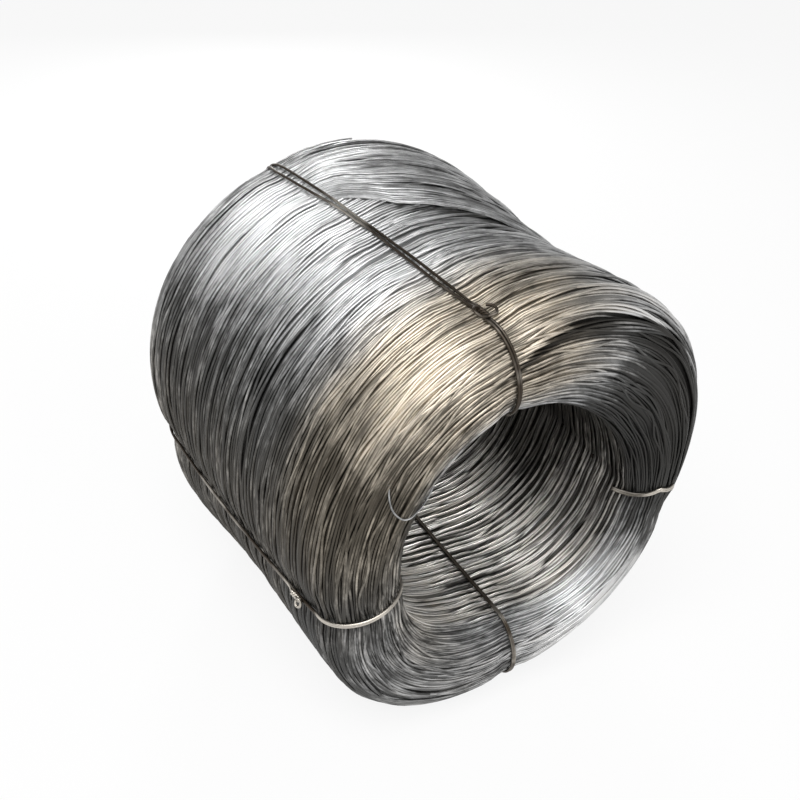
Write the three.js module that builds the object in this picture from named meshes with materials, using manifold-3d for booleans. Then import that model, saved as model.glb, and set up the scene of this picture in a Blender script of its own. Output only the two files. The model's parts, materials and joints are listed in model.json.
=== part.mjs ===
// Coil of wire rod lying on its side, held by four double-wrapped wire ties.
//
// Millimetres. +X runs along the coil's bore towards its front end, +Z is up, and the
// origin is the floor point under the middle of the coil's length, below its axis.
//
// The coil is one turned solid with its bore. Its section is first turned as a plain
// ring, then each point is moved out or in to the coil's real, uneven form: an oval
// pulled in by its ties, with a lobe between each two of them. The ties follow the same
// surface.

import * as THREE from "three";
import { mergeVertices } from "three/addons/utils/BufferGeometryUtils.js";
import Module from "manifold-3d";

const wasm = await Module();
wasm.setup();

// ---------------------------------------------------------------------------
// Driving dimensions
// ---------------------------------------------------------------------------

// The coil between its two ends, and the oval that its outer turns make. Its underside
// sags flatter towards the heavier rear end, where it lies between two ties.
const coilLength = 872;
const sideRadius = 462;
const uprightRadius = 515;
const sagRadius = 450;
const rearLargerBy = 66; // outer radius at the rear end, over that at the front end
const barrelHeight = 15; // the outer turns halfway along stand this much further out
const boreRadius = 310;
const boreFrontTaper = 15; // the bore is this much closer in at the front end

// The ends. The front end is a broad shallow roll of turns. The rear end was formed on
// a flat plate, so it has a level crown between two rounded shoulders.
const frontRounding = 73;
const rearRounding = 104;
const rearCrownWidth = 96;
const frontRidges = 11;
const rearShoulderRidges = 3;
const rearCrownRidges = 3;
const crownGrooveWidth = 6;

// The turns lie in bands, with a shallow valley between each two of them.
const ridgeDepth = 5;
const wallRidges = 8; // bands between the two ends, both outside and in the bore

// The ties round the coil (0 degrees is the +Y side, 90 the top), each at its angle on
// the front end and on the rear end, with the bore's radius there as a share of
// boreRadius. Between a tie and the next one the turns stand out or in as a lobe: its
// height on the bore is a share of boreLobeHeight, and outside, at the front end, the
// middle and the rear end, of lobeHeight.
const lobeHeight = 50;
const boreLobeHeight = 30;
const ties = [
  { name: "tie_right", angles: [-12, -12], bore: 1.16, boreLobe: -1, lobe: [1.6, -0.25, -0.46] },
  { name: "tie_top", angles: [98, 111], bore: 0.96, boreLobe: -0.6, lobe: [-0.1, 0.05, 0.55] },
  { name: "tie_left", angles: [196, 196], bore: 0.89, boreLobe: 0.9, lobe: [1.05, 0.6, 1.5] },
  { name: "tie_bottom", angles: [274, 274], bore: 1.04, boreLobe: 1, lobe: [-0.1, 1, 1] },
];
const tieBite = 5; // how deep a tie presses the turns in
const tieBedHalfWidth = 20; // half the width of the pressed bed it lies in
const tieBedSlope = 46; // how far past the bed the turns rise again

// Tie wire, wrapped twice and twisted together at the front shoulder.
const tieWireDiameter = 6;
const tieWrapGap = 0.3;
const tieClearance = 1;
const knotFromFrontEnd = 90;
const knotTwistLength = 34;
const knotTurns = 1.5;
const knotLeadLength = 18;
const knotTailLength = 16;
const knotTailSplay = 12;
const knotSink = 1;

// Facets
const columnsPerLobe = 15;
const wireSides = 6;
const knotSteps = 15;

// ---------------------------------------------------------------------------
// The coil's surface
// ---------------------------------------------------------------------------

const { clamp, degToRad, lerp, smoothstep } = THREE.MathUtils;
const fullTurn = 2 * Math.PI;
const halfLength = coilLength / 2;
const frontShoulder = halfLength - frontRounding;
const rearShoulder = -(halfLength - rearRounding);
const nominalOuter = (sideRadius + uprightRadius) / 2;
const nominalBore = boreRadius;
const nominalHalfBuild = (nominalOuter - nominalBore) / 2;

// The tie at an index, counted on round the coil past the last one.
function tieAt(index) {
  return ties[index % ties.length];
}

// A tie's angle at a place along the coil, growing by a turn each time round.
function tieAngle(index, axial) {
  const [front, rear] = tieAt(index).angles;
  const fromFront = (1 - axial / halfLength) / 2;
  return degToRad(lerp(front, rear, fromFront)) + fullTurn * Math.floor(index / ties.length);
}

// A column is a line along the coil, at a share of the way from one tie to the next.
function column(index, through) {
  const width = tieAngle(index + 1, 0) - tieAngle(index, 0);
  const bed = tieBedHalfWidth / nominalOuter / width;
  const inner = clamp((through - bed) / (1 - 2 * bed), 0, 1);
  const nearestTie = Math.min(through, 1 - through) * width * nominalOuter;
  const outOfBed = (nearestTie - tieBedHalfWidth) / tieBedSlope;
  return {
    index,
    through,
    arch: Math.sin(Math.PI * inner),
    bite: tieBite * (1 - smoothstep(outOfBed, 0, 1)),
  };
}

function columnAngle({ index, through }, axial) {
  return lerp(tieAngle(index, axial), tieAngle(index + 1, axial), through);
}

// Radius at an angle of the oval that the coil's outer turns make, at a share of the way
// from the middle of its length to the front end, or back to the rear end below 0.
function ovalRadius(angle, along) {
  const underside = lerp(uprightRadius, sagRadius, (1 - along) / 2);
  const upright = Math.sin(angle) > 0 ? uprightRadius : underside;
  return 1 / Math.hypot(Math.cos(angle) / sideRadius, Math.sin(angle) / upright);
}

function outerRadiusAt({ index, arch }, angle, axial) {
  const along = clamp(axial / halfLength, -1, 1);
  const front = smoothstep(along, 0, 1);
  const rear = smoothstep(-along, 0, 1);
  const [frontShare, middleShare, rearShare] = tieAt(index).lobe;
  const share = frontShare * front + middleShare * (1 - front - rear) + rearShare * rear;
  const taper = (-rearLargerBy / 2) * along + barrelHeight * (1 - along * along);
  return ovalRadius(angle, along) + taper + lobeHeight * share * arch;
}

function boreRadiusAt({ index, through, arch }, axial) {
  const front = smoothstep(axial / halfLength, 0, 1);
  const share = lerp(tieAt(index).bore, tieAt(index + 1).bore, through);
  const lobe = boreLobeHeight * tieAt(index).boreLobe * arch;
  return boreRadius * share + lobe - boreFrontTaper * front;
}

// A spot on the section: its place along the coil, its reach from -1 at the bore to
// 1 at the outside, and the way out of the section there.
function spot(axial, reach, outAxial, outRadial, lift = 0) {
  const out = new THREE.Vector2(outAxial, outRadial).normalize();
  return { axial, reach, out, lift };
}

// The point of the coil at a column and a spot, lifted off its surface by lift.
function coilPoint(line, at, lift = 0) {
  const angle = columnAngle(line, at.axial);
  const outer = outerRadiusAt(line, angle, at.axial);
  const bore = boreRadiusAt(line, at.axial);
  const rise = lift - line.bite;
  const radius = (outer + bore) / 2 + (at.reach * (outer - bore)) / 2 + at.out.y * rise;
  const axial = at.axial + at.out.x * rise;
  return new THREE.Vector3(axial, radius * Math.cos(angle), radius * Math.sin(angle));
}

// ---------------------------------------------------------------------------
// The section, from the front end round the bore and the rear end to the outside
// ---------------------------------------------------------------------------

// A spot on the front end's arc, turned from its crown: a quarter turn is a shoulder.
function frontArcSpot(turn, lift = 0) {
  const axial = frontShoulder + frontRounding * Math.cos(turn);
  const outAxial = Math.cos(turn) / frontRounding;
  const outRadial = Math.sin(turn) / nominalHalfBuild;
  return spot(axial, Math.sin(turn), outAxial, outRadial, lift);
}

// One end's arc from reach 1 to reach -1, with a crest and a valley for each ridge.
function frontEndSpots() {
  const spots = [];
  const steps = 2 * frontRidges;
  for (let step = 0; step <= steps; step += 1) {
    const turn = Math.PI * (0.5 - step / steps);
    spots.push(frontArcSpot(turn, step % 2 === 0 ? 0 : -ridgeDepth));
  }
  return spots;
}

// The spot outside the coil at a place along it, on the wall or over the front shoulder.
function outsideSpot(axial) {
  if (axial <= frontShoulder) {
    return spot(axial, 1, 0, 1);
  }
  return frontArcSpot(Math.acos((axial - frontShoulder) / frontRounding));
}

// A quarter round between the rear crown and a wall, listed from the crown outwards.
function rearShoulderSpots(side) {
  const crownReach = rearCrownWidth / 2 / nominalHalfBuild;
  const roundingReach = 1 - crownReach;
  const spots = [];
  const steps = 2 * rearShoulderRidges;
  for (let step = 1; step <= steps; step += 1) {
    const turn = (Math.PI / 2) * (step / steps);
    const axial = -(halfLength - rearRounding + rearRounding * Math.cos(turn));
    const reach = side * (crownReach + roundingReach * Math.sin(turn));
    const lift = step % 2 === 0 ? 0 : -ridgeDepth;
    const outAxial = -Math.cos(turn) / rearRounding;
    const outRadial = (side * Math.sin(turn)) / (roundingReach * nominalHalfBuild);
    spots.push(spot(axial, reach, outAxial, outRadial, lift));
  }
  return spots;
}

// The level crown of the rear end, cut by grooves between its bands of turns.
function rearCrownSpots() {
  const spots = [];
  const band = rearCrownWidth / rearCrownRidges;
  for (let index = 0; index < rearCrownRidges; index += 1) {
    const start = -rearCrownWidth / 2 + band * index;
    const edges = [start + crownGrooveWidth / 2, start + band - crownGrooveWidth / 2];
    for (const radial of edges) {
      spots.push(spot(-halfLength, radial / nominalHalfBuild, -1, 0));
    }
    if (index < rearCrownRidges - 1) {
      spots.push(spot(-halfLength, (start + band) / nominalHalfBuild, -1, 0, -ridgeDepth));
    }
  }
  return spots;
}

// A wall's spots between the two ends' shoulders, without the shoulders themselves: a
// valley and a crest by turns.
function wallSpots(reach, from, to) {
  const spots = [];
  const steps = 2 * wallRidges;
  for (let step = 1; step < steps; step += 1) {
    const axial = lerp(from, to, step / steps);
    spots.push(spot(axial, reach, 0, reach, step % 2 === 0 ? 0 : -ridgeDepth));
  }
  return spots;
}

const section = [
  ...frontEndSpots(),
  ...wallSpots(-1, frontShoulder, rearShoulder),
  ...rearShoulderSpots(-1).reverse(),
  ...rearCrownSpots(),
  ...rearShoulderSpots(1),
  ...wallSpots(1, rearShoulder, frontShoulder),
];

// ---------------------------------------------------------------------------
// Solids
// ---------------------------------------------------------------------------

function material(color, metalness, roughness) {
  return new THREE.MeshStandardMaterial({ color, metalness, roughness });
}

function closedGeometry(geometry) {
  const bare = geometry.clone();
  bare.deleteAttribute("normal");
  bare.deleteAttribute("uv");
  return mergeVertices(bare, 1e-4);
}

function toSolid(geometry) {
  const closed = closedGeometry(geometry);
  return new wasm.Manifold(
    new wasm.Mesh({
      numProp: 3,
      vertProperties: new Float32Array(closed.attributes.position.array),
      triVerts: new Uint32Array(closed.index.array),
    }),
  );
}

function toGeometry(solid) {
  const mesh = solid.getMesh();
  const geometry = new THREE.BufferGeometry();
  geometry.setAttribute("position", new THREE.BufferAttribute(mesh.vertProperties, 3));
  geometry.setIndex(new THREE.BufferAttribute(mesh.triVerts, 1));
  return geometry;
}

// The coil's columns: one on each tie, one at each edge of its bed, and the rest shared
// out over the lobe between two beds.
function coilColumns() {
  const columns = [];
  for (const index of ties.keys()) {
    const width = tieAngle(index + 1, 0) - tieAngle(index, 0);
    const bed = tieBedHalfWidth / nominalOuter / width;
    columns.push(column(index, 0));
    for (let step = 0; step < columnsPerLobe - 1; step += 1) {
      columns.push(column(index, lerp(bed, 1 - bed, step / (columnsPerLobe - 2))));
    }
  }
  return columns;
}

// Turns the section into a ring, then moves each corner to its place on the coil. The
// lathe lists its corners column by column, each in the section's order.
function makeWireCoil() {
  const outline = section.map((at) => {
    const radius = (nominalOuter + nominalBore) / 2 + at.reach * nominalHalfBuild;
    return new THREE.Vector2(radius, at.axial);
  });
  outline.push(outline[0].clone());
  const columns = coilColumns();
  const ring = new THREE.LatheGeometry(outline, columns.length);
  const corners = ring.attributes.position;
  for (let index = 0; index < corners.count; index += 1) {
    const line = columns[Math.floor(index / outline.length) % columns.length];
    const at = section[(index % outline.length) % section.length];
    const corner = coilPoint(line, at, at.lift);
    corners.setXYZ(index, corner.x, corner.y, corner.z);
  }
  return toSolid(ring);
}

// A closed route through given points, stepped from point to point.
class Route extends THREE.CatmullRomCurve3 {
  getPointAt(share, target) {
    return this.getPoint(share, target);
  }

  getTangentAt(share, target) {
    return this.getTangent(share, target);
  }
}

// A point of a tie: over its column at a spot, moved round the coil by sideways.
function tiePoint(index, at, lift, sideways) {
  const line = column(index, 0);
  const angle = columnAngle(line, at.axial);
  const roundwards = new THREE.Vector3(0, -Math.sin(angle), Math.cos(angle));
  return coilPoint(line, at, lift).addScaledVector(roundwards, sideways);
}

// One wrap of a tie: a ring of wire lying on the crests of the coil's section.
function makeWrap(index, sideways) {
  const lift = tieClearance + tieWireDiameter / 2;
  const crests = section.filter((at) => at.lift === 0);
  const points = crests.map((at) => tiePoint(index, at, lift, sideways));
  const route = new Route(points, true);
  const radius = tieWireDiameter / 2;
  return toSolid(new THREE.TubeGeometry(route, points.length, radius, wireSides, true));
}

// One of the two twisted ends: it leaves its wrap, winds round the other end and is
// cut off standing a little away from the coil.
function makeTwistedEnd(index, hand) {
  const wrapLift = tieClearance + tieWireDiameter / 2;
  const twistRadius = tieWireDiameter / 2 - knotSink / 2;
  const twistLift = wrapLift + tieWireDiameter + twistRadius - knotSink;
  const wrapSide = (tieWireDiameter + tieWrapGap) / 2;
  const total = knotLeadLength + knotTwistLength + knotTailLength;
  const points = [];
  for (let step = 0; step <= knotSteps; step += 1) {
    const along = (total * step) / knotSteps;
    const led = smoothstep(along, 0, knotLeadLength);
    const twisted = (along - knotLeadLength) / knotTwistLength;
    const tail = Math.max(0, along - knotLeadLength - knotTwistLength) / knotTailLength;
    const turn = fullTurn * knotTurns * clamp(twisted, 0, 1);
    const around = lerp(wrapSide, twistRadius, led);
    const splay = knotTailSplay * tail;
    const lift = lerp(wrapLift, twistLift, led) + hand * Math.sin(turn) * twistRadius + splay;
    const sideways = hand * Math.cos(turn) * (around + splay);
    const at = outsideSpot(halfLength - knotFromFrontEnd + along - total / 2);
    points.push(tiePoint(index, at, lift, sideways));
  }
  const wire = new THREE.Shape();
  wire.absarc(0, 0, tieWireDiameter / 2, 0, fullTurn);
  const settings = {
    steps: knotSteps,
    curveSegments: wireSides / 2,
    bevelEnabled: false,
    extrudePath: new THREE.CatmullRomCurve3(points),
  };
  return toSolid(new THREE.ExtrudeGeometry(wire, settings));
}

function makeTie(index) {
  const wrapSide = (tieWireDiameter + tieWrapGap) / 2;
  const pieces = [];
  for (const hand of [-1, 1]) {
    pieces.push(makeWrap(index, hand * wrapSide));
    pieces.push(makeTwistedEnd(index, hand));
  }
  return wasm.Manifold.union(pieces);
}

// ---------------------------------------------------------------------------
// The object
// ---------------------------------------------------------------------------

const rodSteel = material(0x8d8a86, 0.9, 0.42);
const tieSteel = material(0x5c554e, 0.85, 0.5);

const coilOfWireRod = new THREE.Group();

function addPiece(name, solid, finish) {
  const mesh = new THREE.Mesh(toGeometry(solid), finish);
  mesh.name = name;
  coilOfWireRod.add(mesh);
}

addPiece("wire_coil", makeWireCoil(), rodSteel);
for (const [index, tie] of ties.entries()) {
  addPiece(tie.name, makeTie(index), tieSteel);
}

// Lays the coil on the floor, with the origin under its middle.
const bounds = new THREE.Box3().setFromObject(coilOfWireRod);
const middle = bounds.getCenter(new THREE.Vector3());
coilOfWireRod.position.set(-middle.x, -middle.y, -bounds.min.z);

export default coilOfWireRod;
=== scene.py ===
"""Coil of wire rod: its turns, its wire ties and a plain studio, laid out as an add-on."""

import json
import math
from functools import lru_cache

import bpy
import numpy as np
from bpy.props import FloatProperty, FloatVectorProperty, IntProperty, PointerProperty
from mathutils import Matrix, Vector

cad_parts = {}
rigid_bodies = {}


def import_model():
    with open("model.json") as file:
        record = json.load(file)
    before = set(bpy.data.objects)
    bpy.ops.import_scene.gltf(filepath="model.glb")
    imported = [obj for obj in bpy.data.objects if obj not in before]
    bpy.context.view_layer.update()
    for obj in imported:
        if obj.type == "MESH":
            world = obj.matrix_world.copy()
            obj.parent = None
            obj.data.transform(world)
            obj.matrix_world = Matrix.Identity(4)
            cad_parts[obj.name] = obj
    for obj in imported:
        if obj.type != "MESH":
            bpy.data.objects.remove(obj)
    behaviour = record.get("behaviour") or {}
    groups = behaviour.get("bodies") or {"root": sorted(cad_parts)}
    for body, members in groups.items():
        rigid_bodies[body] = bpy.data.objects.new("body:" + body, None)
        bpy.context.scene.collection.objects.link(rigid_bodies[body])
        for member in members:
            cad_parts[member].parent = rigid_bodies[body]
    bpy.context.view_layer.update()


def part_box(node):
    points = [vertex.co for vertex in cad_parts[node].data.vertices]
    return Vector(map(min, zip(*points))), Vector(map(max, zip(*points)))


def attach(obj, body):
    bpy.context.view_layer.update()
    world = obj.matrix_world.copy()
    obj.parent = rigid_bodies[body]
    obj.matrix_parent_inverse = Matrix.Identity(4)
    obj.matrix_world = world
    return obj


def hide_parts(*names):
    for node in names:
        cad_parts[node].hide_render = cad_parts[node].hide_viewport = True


bl_info = {
    "name": "Coil of wire rod",
    "version": (1, 0, 0),
    "blender": (4, 5, 0),
    "location": "3D View > Sidebar > Wire Coil",
    "description": "Builds a tied coil of wire rod and a plain studio for it",
    "category": "Add Mesh",
}

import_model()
COIL_LOW, COIL_HIGH = (np.array(corner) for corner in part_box("wire_coil"))

# ---- The coil's form ----
# In metres and radians. The bore runs along X, angle 0 is the +Y side and a quarter turn
# is the top.

LENGTH = 0.872
SIDE_RADIUS = 0.462
UPRIGHT_RADIUS = 0.515
SAG_RADIUS = 0.450
REAR_LARGER_BY = 0.066
BARREL_HEIGHT = 0.015
BORE_RADIUS = 0.310
BORE_FRONT_TAPER = 0.015
FRONT_ROUNDING = 0.073
REAR_ROUNDING = 0.104
REAR_CROWN = 0.096
LOBE_HEIGHT = 0.050
BORE_LOBE_HEIGHT = 0.030
TIE_BITE = 0.005
BED_HALF_WIDTH = 0.020
BED_SLOPE = 0.046

# Each tie: its angle at the front and rear end in degrees, the bore's share, the bore
# lobe's share and the outer lobe's shares at the front, the middle and the rear.
TIES = {
    "tie_right": (-12, -12, 1.16, -1.0, 1.60, -0.25, -0.46),
    "tie_top": (98, 111, 0.96, -0.6, -0.1, 0.05, 0.55),
    "tie_left": (196, 196, 0.89, 0.9, 1.05, 0.6, 1.5),
    "tie_bottom": (274, 274, 1.04, 1.0, -0.1, 1.0, 1.0),
}
TIE_NAMES = list(TIES)
TIE_TABLE = np.array(list(TIES.values()), float)
TIE_FRONT = np.radians(TIE_TABLE[:, 0])
TIE_REAR = np.radians(TIE_TABLE[:, 1])

# Each tie's knot: how far back from the front end it lies and how large its bent ends
# are; then how strong the painted highlight on the tie and its knot is over the front end.
KNOTS = {
    "tie_right": (0.090, 0.7, 1.0),
    "tie_top": (0.104, 1.0, 0.0),
    "tie_left": (0.150, 0.55, 1.0),
    "tie_bottom": (0.090, 0.8, 0.0),
}

# Where a tie strays from its straight run: lengths round the section, and there how many
# degrees it slants, how far its wraps part, and how far it lies under slipped turns.
STRAYING = {
    ("tie_right", "slant"): (
        (0.02, 0.10, 0.16, 0.234, 0.31, 0.38),
        (0.0, 9.0, 9.5, 2.0, -4.0, 0.0),
    ),
    ("tie_top", "parting"): (
        (1.20, 1.27, 1.36, 1.45, 1.52, 1.60, 1.70, 1.82, 1.92),
        (0.0, 0.011, 0.009, 0.005, 0.001, 0.0, 0.003, 0.005, 0.0),
    ),
    ("tie_right", "under"): (
        (0.0, 0.04, 0.09, 0.13, 0.27, 0.32, 0.93, 1.0),
        (0.004, 0.006, 0.005, 0.0, 0.0, 0.016, 0.016, 0.0),
    ),
}

TURN = 2 * math.pi
HALF_LENGTH = LENGTH / 2
FRONT_SHOULDER = HALF_LENGTH - FRONT_ROUNDING
REAR_SHOULDER = REAR_ROUNDING - HALF_LENGTH
NOMINAL_OUTER = (SIDE_RADIUS + UPRIGHT_RADIUS) / 2
HALF_BUILD = (NOMINAL_OUTER - BORE_RADIUS) / 2


def smooth(value, low=0.0, high=1.0):
    """A smooth rise from 0 at low to 1 at high."""
    t = np.clip((value - low) / (high - low), 0, 1)
    return t * t * (3 - 2 * t)


def window(value, rise, full, fall, end):
    """1 from full to fall, with a smooth rise before and a smooth fall after."""
    return smooth(value, rise, full) * (1 - smooth(value, fall, end))


def hump(value):
    """A round hump: 1 at 0, falling away on both sides."""
    return np.exp(-(value**2))


def nominal_section():
    """The section as rows of length round it, axial place, reach and the way out.

    It starts at the front shoulder outside and runs over the front end, through the bore
    and over the rear end, back to where it started. Reach is 1 outside and -1 in the bore.
    With it come the lengths at which the front end, the bore and the rear end finish.
    """
    rows, marks = [], []

    def bend(shoulder, rounding, crown, side, turns):
        for turn in turns:
            across, along = math.sin(turn), math.cos(turn)
            way = along / rounding, side * across / ((1 - crown) * HALF_BUILD)
            size = math.hypot(*way)
            reach = side * (crown + (1 - crown) * across)
            rows.append((shoulder + rounding * along, reach, way[0] / size, way[1] / size))

    quarter = math.pi / 2
    bend(FRONT_SHOULDER, FRONT_ROUNDING, 0, 1, np.linspace(quarter, -quarter, 61))
    marks.append(len(rows) - 1)
    walls = np.linspace(FRONT_SHOULDER, REAR_SHOULDER, 60)
    rows.extend((axial, -1, 0, -1) for axial in walls[1:-1])
    marks.append(len(rows))
    for side, start in ((-1, quarter), (1, 0)):
        turns = np.linspace(start, quarter - start, 31)
        bend(REAR_SHOULDER, -REAR_ROUNDING, REAR_CROWN / 2 / HALF_BUILD, side, turns)
    marks.append(len(rows) - 1)
    rows.extend((axial, 1, 0, 1) for axial in np.linspace(REAR_SHOULDER, FRONT_SHOULDER, 60)[1:])
    rows = np.array(rows)
    steps = np.hypot(np.diff(rows[:, 0]), np.diff(rows[:, 1]) * HALF_BUILD)
    section = np.column_stack([np.concatenate([[0], np.cumsum(steps)]), rows])
    return section, section[marks, 0]


SECTION, (FRONT_END, BORE_END, REAR_END) = nominal_section()
ROUND = SECTION[-1, 0]


def section_at(length):
    """Axial place, reach and the way out at a length round the nominal section."""
    wrapped = np.mod(length, ROUND)
    return [np.interp(wrapped, SECTION[:, 0], SECTION[:, k]) for k in range(1, 5)]


def past(length, middle=0.0):
    """How far each length lies past another, the short way round the section."""
    return np.mod(length - middle + ROUND / 2, ROUND) - ROUND / 2


def place_at(angle, axial):
    """Which lobe each angle falls in, how far through it, and its width at mid-length."""
    share = (1 - axial / HALF_LENGTH) / 2
    ties = TIE_FRONT + (TIE_REAR - TIE_FRONT) * share[..., None]
    starts = ties - ties[..., :1]
    ends = np.concatenate([starts[..., 1:], np.full(starts[..., :1].shape, TURN)], -1)
    turned = np.mod(angle - ties[..., 0] + 1e-9, TURN)[..., None]
    index = (turned >= starts).sum(-1) - 1
    start, end = (np.take_along_axis(a, index[..., None], -1)[..., 0] for a in (starts, ends))
    middle = np.append((TIE_FRONT + TIE_REAR) / 2, (TIE_FRONT[0] + TIE_REAR[0]) / 2 + TURN)
    return index, (turned[..., 0] - start) / (end - start), np.diff(middle)[index]


def coil_point(angle, length, lift=0.0):
    """The point of the coil at an angle and a length round its section, lifted outwards."""
    angle, length, lift = np.broadcast_arrays(angle, length, lift)
    axial, reach, out_axial, out_radial = section_at(length)
    index, through, width = place_at(angle, axial)
    bed = BED_HALF_WIDTH / NOMINAL_OUTER / width
    arch = np.sin(math.pi * np.clip((through - bed) / (1 - 2 * bed), 0, 1))
    near = np.minimum(through, 1 - through) * width * NOMINAL_OUTER
    bite = TIE_BITE * (1 - smooth((near - BED_HALF_WIDTH) / BED_SLOPE))
    along = np.clip(axial / HALF_LENGTH, -1, 1)
    front, rear = smooth(along), smooth(-along)
    table = TIE_TABLE[index]
    share = table[..., 4] * front + table[..., 5] * (1 - front - rear) + table[..., 6] * rear
    underside = UPRIGHT_RADIUS + (SAG_RADIUS - UPRIGHT_RADIUS) * (1 - along) / 2
    upright = np.where(np.sin(angle) > 0, UPRIGHT_RADIUS, underside)
    outer = 1 / np.hypot(np.cos(angle) / SIDE_RADIUS, np.sin(angle) / upright)
    outer = outer - REAR_LARGER_BY / 2 * along + BARREL_HEIGHT * (1 - along * along)
    outer = outer + LOBE_HEIGHT * share * arch
    following = TIE_TABLE[(index + 1) % 4]
    bore = BORE_RADIUS * (table[..., 2] + (following[..., 2] - table[..., 2]) * through)
    bore = bore + BORE_LOBE_HEIGHT * table[..., 3] * arch - BORE_FRONT_TAPER * front
    rise = lift - bite
    radius = (outer + bore) / 2 + reach * (outer - bore) / 2 + out_radial * rise
    sides = radius * np.cos(angle), radius * np.sin(angle)
    return np.stack([axial + out_axial * rise, *sides], -1) + ORIGIN


# The coil lies in the middle of its solid's box and on its floor.
ORIGIN = np.zeros(3)
cover = coil_point(np.radians(np.arange(0, 360, 1.0))[:, None], np.linspace(0, ROUND, 400)[None, :])
lowest, highest = cover.min((0, 1)), cover.max((0, 1))
ORIGIN = (COIL_LOW + COIL_HIGH) / 2 - (lowest + highest) / 2
ORIGIN[2] = COIL_LOW[2] - lowest[2]

# ---- How the turns lie ----

COLUMNS = 144
ANGLES = -math.pi / 2 + TURN * np.arange(COLUMNS) / COLUMNS
DEGREES = np.degrees(ANGLES)

# Where each zone begins, as lengths round the section between which it comes in.
ZONES = {
    "front": (0.02, 0.08),
    "bore": (FRONT_END - 0.03, FRONT_END + 0.03),
    "rear": (BORE_END - 0.02, BORE_END + 0.05),
    "outer": (REAR_END - 0.04, REAR_END + 0.04),
}

# Slow waves in which neighbouring turns wander together: their sizes in metres.
SWAY_WAVES = (0.05, 0.09, 0.16)

# Bands of gathered turns by zone: their widths in metres, how far the turns crowd
# together in them, and how high they stand.
BANDS = {
    "front": ((0.012, 0.019, 0.031), 0.34, 0.0014),
    "bore": ((0.013, 0.033), 0.25, 0.0010),
    "rear": ((0.014, 0.024), 0.25, 0.0012),
    "outer": ((0.013, 0.021, 0.036, 0.070), 0.13, 0.0006),
}

# The bore's turns lie in ribs: their width and height, how far the turns crowd in them,
# and the angle in degrees about which the wall is plain instead.
BORE_RIB = 0.0194
RIB_HEIGHT = 0.0032
RIB_CROWDING = 0.92
PLAIN_WALL = 222

# Slender partings strewn over the coil: how many, how many degrees they span, how wide
# they open, how far their edges are drawn out, and how far beside them turns give way.
PARTINGS = 420
PARTING_SPAN = (4, 11)
PARTING_WIDTH = (0.0008, 0.0032)
PARTING_EDGE = 0.003
GIVING_WAY = 0.022

# The turns that cross over the back of the coil's top: degrees, and the length round
# the section where their front edge lies; then where the hindmost lies, how deep the
# groove before the edge is, and how many rods high they may pile.
CROSSING_EDGE = (
    (-45, -20, 0, 30, 55, 70, 84, 94.5, 104, 118),
    (1.50, 1.60, 1.66, 1.70, 1.69, 1.658, 1.607, 1.564, 1.462, 1.40),
)
CROSSING_BACK = 1.29
CROSSING_STEP = 0.009
CROSSING_LIMIT = 1.7

# The furrow just inside the front end's rim: degrees, where it lies, and how wide it is;
# then its depth as a share of its width.
FURROW = (
    (10, 25, 49, 61, 74, 85, 97, 104),
    (0.064, 0.061, 0.058, 0.057, 0.063, 0.071, 0.095, 0.106),
    (0.0, 0.004, 0.0065, 0.0065, 0.0055, 0.005, 0.005, 0.0),
)
FURROW_DEPTH = 1.4

# Loose turns that cross over the furrow: how many times each wanders across it, how far,
# and about which length.
FURROW_STRAYS = (-5, -3, -2, 1, 2, 4, 6)
FURROW_WANDER = 0.012
FURROW_MIDDLE = 0.060

# Places where the turns lie pressed in: degrees, length round the section, how far it
# reaches in degrees and in length, and its height.
PRESSED = (
    (52, 1.50, 24, 0.11, -0.016),
    (54, 1.94, 18, 0.07, -0.010),
    (-10, 0.06, 18, 0.07, -0.018),
)

# Painted light and shade on each side of each zone, from painted shade at 0 to a painted
# highlight at 1: degrees and shares, the last place joining up with the first.
PAINTED_LIGHT = {
    "outer": (
        (-90, -12, 40, 84, 98, 108, 122, 135, 150, 200, 250),
        (0.35, 0.35, 0.52, 0.43, 0.58, 0.72, 0.80, 0.48, 0.22, 0.15, 0.18),
    ),
    "front": (
        (-90, -55, -36, -20, 12, 45, 65, 92, 108, 128, 150, 205, 250),
        (0.42, 1.05, 0.80, 0.34, -0.34, -0.22, 0.52, 0.58, 0.58, 0.52, 0.20, 0.44, 0.50),
    ),
    "bore": (
        (-90, -60, -30, 20, 70, 130, 190, 225, 250),
        (0.80, 1.15, 0.66, 0.12, -0.15, 0.05, 0.70, 1.15, 1.10),
    ),
    "rear": ((0, 180), (0.4, 0.4)),
}

# How much that painted light changes in places: painted shade deep in the bore, a painted
# shadow in the furrow, a painted highlight on the rim beside it, a painted shadow below the
# crossing turns, painted shade between the bore's ribs, and a painted highlight at the rear
# of the upper left.
PAINTED_LIGHT_CHANGES = {
    "deep": -0.6, "furrow": -1.1, "rim": 0.2, "below": -0.55, "valley": -0.9, "rearward": 0.35,
}

# Single rods that stand clear of the turns: degrees, length round the section and lift;
# then their share of the rod's diameter.
LOOSE_ENDS = {
    "loose_end": (
        (122, 1.19, -0.004), (114, 1.205, 0.004), (108, 1.222, 0.006), (99, 1.238, 0.008),
        (90, 1.250, 0.010),
    ),
    "slack_loop": (
        (144, 0.085, -0.004), (148.5, 0.100, 0.004), (151.5, 0.120, 0.006),
        (153, 0.150, 0.006), (150, 0.185, 0.006), (143, 0.215, 0.006), (133, 0.245, 0.003),
        (122, 0.27, -0.004),
    ),
}
LOOSE_SHARE = 0.6


def zone_share(zone, length):
    """How far each place belongs to a zone, from 0 to 1."""
    wrapped = np.mod(length, ROUND)
    order = list(ZONES)
    following = order[(order.index(zone) + 1) % 4]
    start, end = (smooth(wrapped, *ZONES[name]) for name in (zone, following))
    return start + 1 - end if zone == "outer" else start - end


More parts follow.
